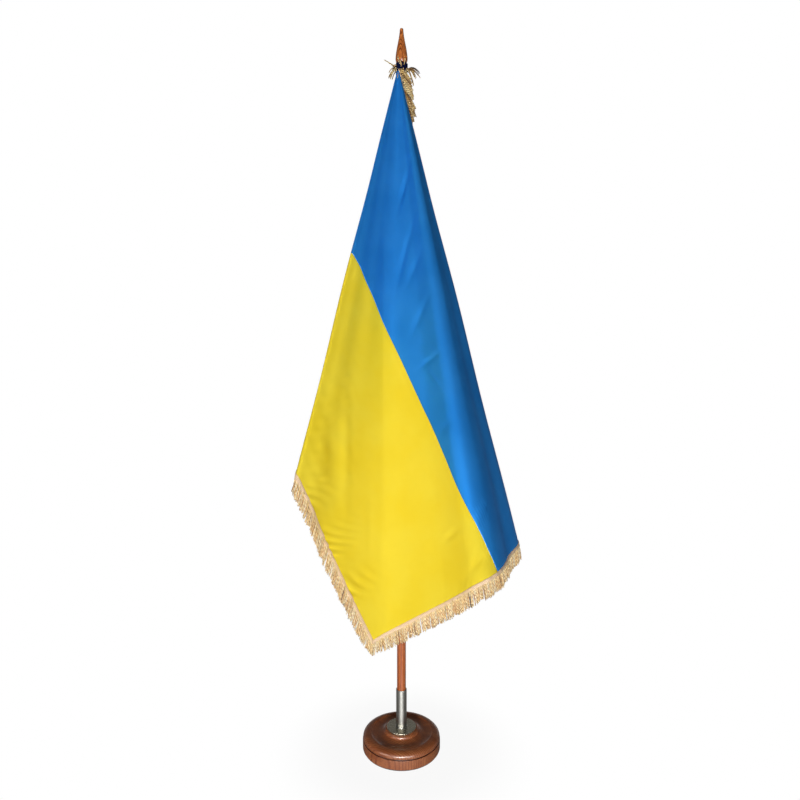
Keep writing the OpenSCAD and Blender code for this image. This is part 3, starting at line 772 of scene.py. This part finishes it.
def braid(name, colour, shade):
    """Woven heading: slanting ribs along the tape."""
    mat, tree, shader = finish(name, Roughness=0.6, Specular_IOR_Level=0.3, Sheen_Weight=0.1)
    cut = add(tree, "ShaderNodeTexCoord").outputs["UV"]
    lay = add(tree, "ShaderNodeMapping", {"Vector": cut, "Scale": (1.0, 0.012, 1.0)}).outputs["Vector"]
    rib = add(tree, "ShaderNodeTexWave", {"Vector": lay, "Scale": 130.0, "Distortion": 0.6}, bands_direction="DIAGONAL")
    tree.links.new(ramp(tree, rib.outputs["Fac"], (0.1, shade), (0.7, colour)), shader.inputs["Base Color"])
    bump(tree, shader, rib.outputs["Fac"], 0.4 * MM, 0.7)
    return mat


def steel(name, colour, rough, stretch, drawn, turn, uneven):
    """Satin steel: fine brushing stretched along one way, with small uneven changes of gloss; drawn is how far the
    highlight is pulled out, and turn the way it is pulled, as a share of a full turn."""
    mat, tree, shader = finish(name, Base_Color=colour, Metallic=1.0, Anisotropic=drawn, Anisotropic_Rotation=turn)
    place = add(tree, "ShaderNodeTexCoord").outputs["Object"]
    lay = add(tree, "ShaderNodeMapping", {"Vector": place, "Scale": stretch}).outputs["Vector"]
    brush = add(tree, "ShaderNodeTexNoise", {"Vector": lay, "Scale": 60.0, "Detail": 4.0})
    tree.links.new(span(tree, brush.outputs["Fac"], rough - uneven, rough + uneven), shader.inputs["Roughness"])
    bump(tree, shader, brush.outputs["Fac"], 0.03 * MM, uneven)
    return mat


def plain(name, colour, rough, grain, metal=0.0):
    """A plain hidden finish with a little grain in its tone and gloss."""
    mat, tree, shader = finish(name, Metallic=metal)
    place = add(tree, "ShaderNodeTexCoord").outputs["Object"]
    speck = add(tree, "ShaderNodeTexNoise", {"Vector": place, "Scale": grain, "Detail": 3.0})
    shade = tuple(0.7 * c for c in colour[:3]) + (1.0,)
    tree.links.new(ramp(tree, speck.outputs["Fac"], (0.35, shade), (0.65, colour)), shader.inputs["Base Color"])
    tree.links.new(span(tree, speck.outputs["Fac"], rough - 0.1, rough + 0.1), shader.inputs["Roughness"])
    bump(tree, shader, speck.outputs["Fac"], 0.2 * MM, 0.3)
    return mat


# Height of the base's groove, where its wood gets a band of painted shade
GROOVE_Z = (BASE_LOW[2] + BASE_HIGH[2]) / 2
base_wood = wood(
    "base_wood", tone(136, 68, 32), tone(152, 81, 41), tone(186, 114, 68),
    ring=6 * MM, lay=(0, 0, 0.5), stretch=(0.2, 1, 0.35), bend=5.0, gloss=0.35, rough=0.4, line=0.3,
    groove=(GROOVE_Z, 1.5 * MM))
pole_wood = wood(
    "pole_wood", tone(164, 78, 32), tone(194, 100, 44), tone(214, 120, 62),
    ring=5 * MM, lay=(0, 0, 0.4), stretch=(1, 1, 0.06), bend=4.0, gloss=0.8, rough=0.36)
finial_wood = wood(
    "finial_wood", tone(112, 48, 14), tone(188, 98, 38), tone(234, 146, 76),
    ring=2.6 * MM, lay=(0.05, 0, 0.3), stretch=(1, 1, 0.5), bend=3.0, gloss=0.5, rough=0.28, line=0.45)
BLUE, BLUE_SHADE, BLUE_LUSTRE = tone(42, 130, 208), tone(36, 122, 200), 0.18
blue_satin = satin("blue_satin", BLUE, BLUE_SHADE, BLUE_LUSTRE)
# The sleeve's dark navy top is partly a binding, partly painted shade under the finial and the cords
sleeve_satin = satin("sleeve_satin", BLUE, BLUE_SHADE, BLUE_LUSTRE, top=tone(14, 20, 52))
yellow_satin = satin("yellow_satin", tone(244, 219, 60), tone(242, 214, 50), lustre=0.0)
# In each yarn the first tone is painted shadow for the dark gaps between cords, and groove is painted shade in the
# strands' grooves
fringe_yarn = yarn(
    "fringe_yarn", tone(76, 48, 40), tone(224, 180, 118), tone(253, 224, 158), tone(255, 248, 214),
    groove=tone(186, 150, 120), few=0.07, twist=12 * MM, near_root=0.55)
collar_yarn = yarn(
    "collar_yarn", tone(58, 38, 18), tone(168, 124, 58), tone(228, 190, 112), tone(250, 228, 168),
    groove=tone(116, 88, 62), few=0.1, twist=9 * MM, near_root=1.0)
heading_braid = braid("heading_braid", tone(244, 212, 174), tone(230, 194, 156))
tube_steel = steel(
    "tube_steel", tone(168, 167, 161), rough=0.28, stretch=(1, 1, 30), drawn=0.35, turn=0.25, uneven=0.01)
flange_steel = steel(
    "flange_steel", tone(200, 194, 174), rough=0.27, stretch=(1, 1, 1), drawn=0.5, turn=0.0, uneven=0.04)
dark_felt = plain("dark_felt", tone(52, 50, 48), rough=0.9, grain=300.0)
zinc_steel = plain("zinc_steel", tone(168, 170, 172), rough=0.4, grain=120.0, metal=1.0)
pad_rubber = plain("pad_rubber", tone(36, 36, 36), rough=0.7, grain=200.0)
insert_brass = plain("insert_brass", tone(206, 170, 92), rough=0.35, grain=120.0, metal=1.0)


# ---- what each piece is made of, stands for and rides on ----------------------------------

DRESSED = [
    (turned_base, base_wood, "dark_wood", "stand", "base_disc"),
    (steel_flange, flange_steel, "satin_steel", "stand", "socket_flange"),
    (steel_tube, tube_steel, "satin_steel", "stand", "socket_tube"),
    (round_pole, pole_wood, "pole_wood", "pole", "pole_shaft"),
    (spear_finial, finial_wood, "finial_wood", "finial", "finial"),
    (blue_stripe, blue_satin, "blue_satin", "flag", "upper_stripe"),
    (yellow_stripe, yellow_satin, "yellow_satin", "flag", "lower_stripe"),
    (blue_sleeve, sleeve_satin, "blue_satin", "flag", "upper_sleeve"),
    (yellow_sleeve, yellow_satin, "yellow_satin", "flag", "lower_sleeve"),
    (hem_heading, heading_braid, "braid", "flag", "hem_braid"),
    (fly_heading, heading_braid, "braid", "flag", "fly_braid"),
    (top_heading, heading_braid, "braid", "flag", "top_braid"),
    (hem_cords, fringe_yarn, "fringe_yarn", "flag", "hem_fringe"),
    (fly_cords, fringe_yarn, "fringe_yarn", "flag", "fly_fringe"),
    (top_cords, collar_yarn, "fringe_yarn", "flag", "top_fringe"),
    (collar_cords, collar_yarn, "fringe_yarn", "flag", "collar_fringe"),
]
for piece, finish_mat, slot_name, body, node_name in DRESSED:
    piece.data.materials.append(finish_mat)
    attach(piece, body)
    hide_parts(node_name)

KEPT = {
    "base_felt": dark_felt, "ballast_plate": zinc_steel, "socket_plug": zinc_steel, "clamp_bolt": zinc_steel,
    "lock_washer": zinc_steel, "flat_washer": zinc_steel, "socket_pad": pad_rubber, "finial_stud": zinc_steel,
    "finial_insert": insert_brass,
}
for node_name, finish_mat in KEPT.items():
    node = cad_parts[node_name]
    if not node.material_slots:
        node.data.materials.append(finish_mat)
    for place in node.material_slots:
        place.material = finish_mat


# ---- floor, light and camera --------------------------------------------------------------

def seen_by(tree):
    """Two values: 1 for rays that the camera sees directly, and 1 for rays that a gloss or a glass sees."""
    path = add(tree, "ShaderNodeLightPath").outputs
    return path["Is Camera Ray"], reckon(tree, "MAXIMUM", path["Is Glossy Ray"], path["Is Transmission Ray"])


def floor(half=30.0, clear=(0.2, 0.5), gloss_clear=(0.5, 1.5), front=(0, -0.38, 0), front_clear=(0.2, 0.34),
          lift=0.93):
    """A flat pale floor that keeps a soft shadow near the base and goes to plain white further out; gloss sees it
    white further out and in a round patch before the base."""
    points = np.array([[-half, -half, 0], [half, -half, 0], [half, half, 0], [-half, half, 0]])
    obj = put_mesh("floor", points, np.array([[0, 1, 2, 3]]))
    mat, tree, shader = finish("floor_white", Base_Color=(0.75, 0.75, 0.75, 1), Roughness=0.9, Specular_IOR_Level=0.1)
    place = add(tree, "ShaderNodeTexCoord").outputs["Object"]
    out = add(tree, "ShaderNodeVectorMath", {0: place}, operation="LENGTH").outputs["Value"]
    before = add(tree, "ShaderNodeVectorMath", {0: place, 1: front}, operation="DISTANCE").outputs["Value"]
    near = span(tree, out, lift, 1.0, clear, "SMOOTHSTEP")
    far = span(tree, out, 0.0, 1.0, gloss_clear, "SMOOTHSTEP")
    patch = span(tree, before, 1.0, 0.0, front_clear, "SMOOTHSTEP")
    eye_ray, gloss_ray = seen_by(tree)
    to_eye = reckon(tree, "MULTIPLY", near, eye_ray)
    to_gloss = reckon(tree, "MULTIPLY", reckon(tree, "MAXIMUM", far, patch), gloss_ray)
    share = reckon(tree, "MAXIMUM", to_eye, to_gloss)
    white = add(tree, "ShaderNodeEmission", {"Color": (1, 1, 1, 1), "Strength": 1.0})
    mixed = add(tree, "ShaderNodeMixShader", {0: share, 1: shader.outputs[0], 2: white.outputs[0]})
    tree.links.new(mixed.outputs[0], tree.nodes["Material Output"].inputs["Surface"])
    obj.data.materials.append(mat)


def sky(light, overhead, room, above):
    """A world that is white to the eye. Gloss sees the same white backdrop low behind the object, a dimmer ceiling
    over it and a dark room elsewhere, and the object gets a dim light from all round, less from the right and from
    overhead."""
    world = bpy.data.worlds.new("studio")
    world.use_nodes = True
    tree = world.node_tree
    aim = add(tree, "ShaderNodeSeparateXYZ", {"Vector": add(tree, "ShaderNodeTexCoord").outputs["Generated"]})
    round_about = span(tree, aim.outputs["X"], *light, (-0.3, 0.7))
    from_above = span(tree, aim.outputs["Z"], 1.0, overhead, (0.0, 0.7))
    tree.links.new(reckon(tree, "MULTIPLY", round_about, from_above), tree.nodes["Background"].inputs["Strength"])
    tree.nodes["Background"].inputs["Color"].default_value = (1, 1, 1, 1)
    behind = span(tree, aim.outputs["Y"], room, 1.0, (0.6, 0.97), "SMOOTHSTEP")
    low = span(tree, aim.outputs["Z"], 1.0, above, (0.06, 0.24), "SMOOTHSTEP")
    eye_ray, gloss_ray = seen_by(tree)
    level = reckon(tree, "MAXIMUM", reckon(tree, "MINIMUM", behind, low), eye_ray)
    white = add(tree, "ShaderNodeBackground", {"Color": (1, 1, 1, 1), "Strength": level})
    direct = reckon(tree, "MAXIMUM", eye_ray, gloss_ray)
    mixed = add(tree, "ShaderNodeMixShader", {
        0: direct, 1: tree.nodes["Background"].outputs[0], 2: white.outputs[0]})
    tree.links.new(mixed.outputs[0], tree.nodes["World Output"].inputs["Surface"])
    bpy.context.scene.world = world


def lamp(name, place, target, size, power, glossy=True, diffuse=True):
    """A soft lamp, wide by high, that faces its target; it may be kept out of the gloss or out of the plain light."""
    light = bpy.data.lights.new(name, "AREA")
    light.shape = "RECTANGLE"
    light.size, light.size_y = size
    light.energy = power
    obj = bpy.data.objects.new(name, light)
    bpy.context.scene.collection.objects.link(obj)
    obj.location = place
    aim = np.array(target) - np.array(place)
    obj.rotation_euler = (np.arccos(-aim[2] / np.linalg.norm(aim)), 0, np.arctan2(-aim[0], aim[1]))
    obj.visible_glossy = glossy
    obj.visible_diffuse = diffuse
    obj.visible_camera = False


floor()
sky(light=(0.22, 0.05), overhead=0.5, room=0.06, above=0.15)
lamp("key_lamp", (-0.6, -6.9, 0.6), (0, 0, 1.2), size=(2.0, 2.0), power=446)
lamp("soft_lamp", (0.2, -3.2, 0.5), (0, 0, 0.1), size=(3.0, 0.9), power=180, diffuse=False)
lamp("left_lamp", (-2.4, -2.2, 0.9), (0, 0, 0.2), size=(1.5, 1.0), power=40, diffuse=False)
lamp("back_lamp", (1.4, 3.4, 0.5), (0, 0, 1.2), size=(1.2, 1.2), power=40, glossy=False)

IMAGE_SIDE = 800
FOCAL_PIXELS = 665.6
EYE = (-5.2 * MM, -2.2919, 1.4896)
TILT_DOWN = np.radians(5.5)
eye = bpy.data.cameras.new("eye")
eye.sensor_fit = "HORIZONTAL"
eye.sensor_width = 36.0
eye.lens = eye.sensor_width * FOCAL_PIXELS / IMAGE_SIDE
eye_object = bpy.data.objects.new("eye", eye)
bpy.context.scene.collection.objects.link(eye_object)
eye_object.location = EYE
eye_object.rotation_euler = (np.pi / 2 - TILT_DOWN, 0, 0)
bpy.context.scene.camera = eye_object
bpy.context.scene.view_settings.view_transform = "Standard"
